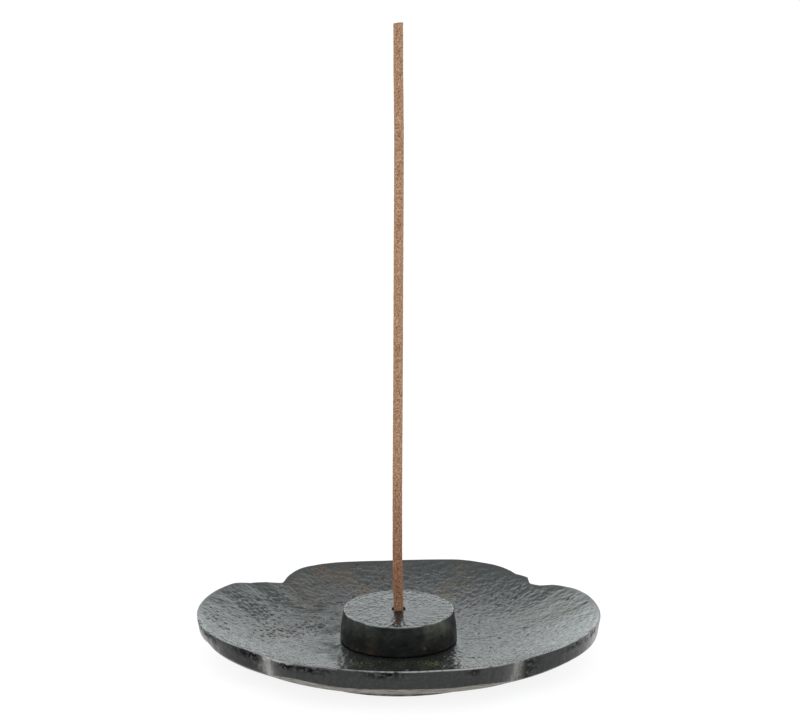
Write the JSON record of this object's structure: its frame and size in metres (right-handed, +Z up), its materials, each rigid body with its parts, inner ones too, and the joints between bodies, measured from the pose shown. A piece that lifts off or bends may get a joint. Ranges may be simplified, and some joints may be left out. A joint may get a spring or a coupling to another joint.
{
  "type": "incense stick holder",
  "caption": "Shallow oval four-lobed cast-iron dish with a loose round weighted stand on its floor that holds an upright incense stick.",
  "frame": {"origin": "middle of the dish's foot, on the surface that it stands on", "axes": "+Z up along the stick, X along the dish's length, Y across its width"},
  "size_m": [0.089, 0.0734, 0.146],
  "materials": {
    "dish_iron": "black oil-baked casting skin, satin, with rust-brown bloom",
    "stand_iron": "black oil-baked casting skin, satin",
    "incense": "matt pressed incense paste, brown"
  },
  "bodies": {
    "dish": {"dish": "dish_iron"},
    "stand": {"stick_stand": "stand_iron"},
    "stick": {"incense_stick": "incense"}
  },
  "joints": [
    {"name": "stand_lift", "type": "slide", "parent": "dish", "child": "stand", "axis": [0, 0, 1], "range_m": [0, 0.04]},
    {"name": "stick_lift", "type": "slide", "parent": "stand", "child": "stick", "axis": [0, 0, 1], "range_m": [0, 0.03]}
  ]
}
